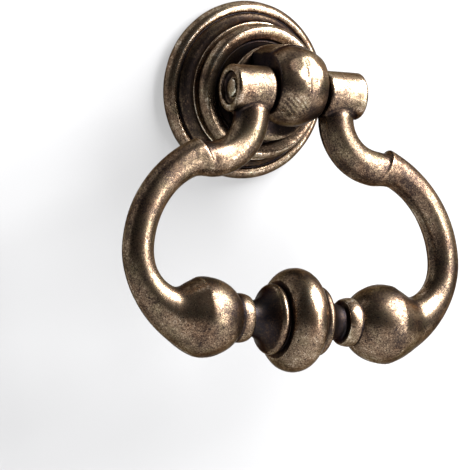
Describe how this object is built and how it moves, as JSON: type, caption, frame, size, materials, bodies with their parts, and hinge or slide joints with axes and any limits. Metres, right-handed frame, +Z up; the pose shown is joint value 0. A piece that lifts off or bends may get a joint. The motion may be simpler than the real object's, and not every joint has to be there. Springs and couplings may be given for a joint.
{
  "type": "drop ring door knocker",
  "caption": "Drop-ring knocker: stepped round rose, ball-ended knuckle and a lyre-shaped bail with a turned middle knob, swinging on one cross pin.",
  "frame": {"origin": "centre of the rose's flat back face, on the fixing screw's axis", "axes": "+X to the right across the bail, along the hinge pin; +Y into the door; +Z up. The bail is stored swung 8.8 degrees out from plumb."},
  "size_m": [0.0736, 0.0396, 0.0712],
  "materials": {
    "antique_brass": "antique, worn bright on high spots",
    "antique_brass_pin": "riveted, antique",
    "plain_steel": "zinc plated"
  },
  "bodies": {
    "rose": {"backplate": "antique_brass", "rose_ring": "antique_brass", "rose_boss": "antique_brass", "knuckle_post": "antique_brass", "shank_washer": "plain_steel", "shank_nut": "plain_steel"},
    "bail": {"bail": "antique_brass", "hinge_pin": "antique_brass_pin"}
  },
  "joints": [
    {"name": "bail_swing", "type": "hinge", "parent": "rose", "child": "bail", "pos_m": [0, -0.02265, 0.0005], "axis": [-1, 0, 0], "range_deg": [-25, 187]}
  ]
}
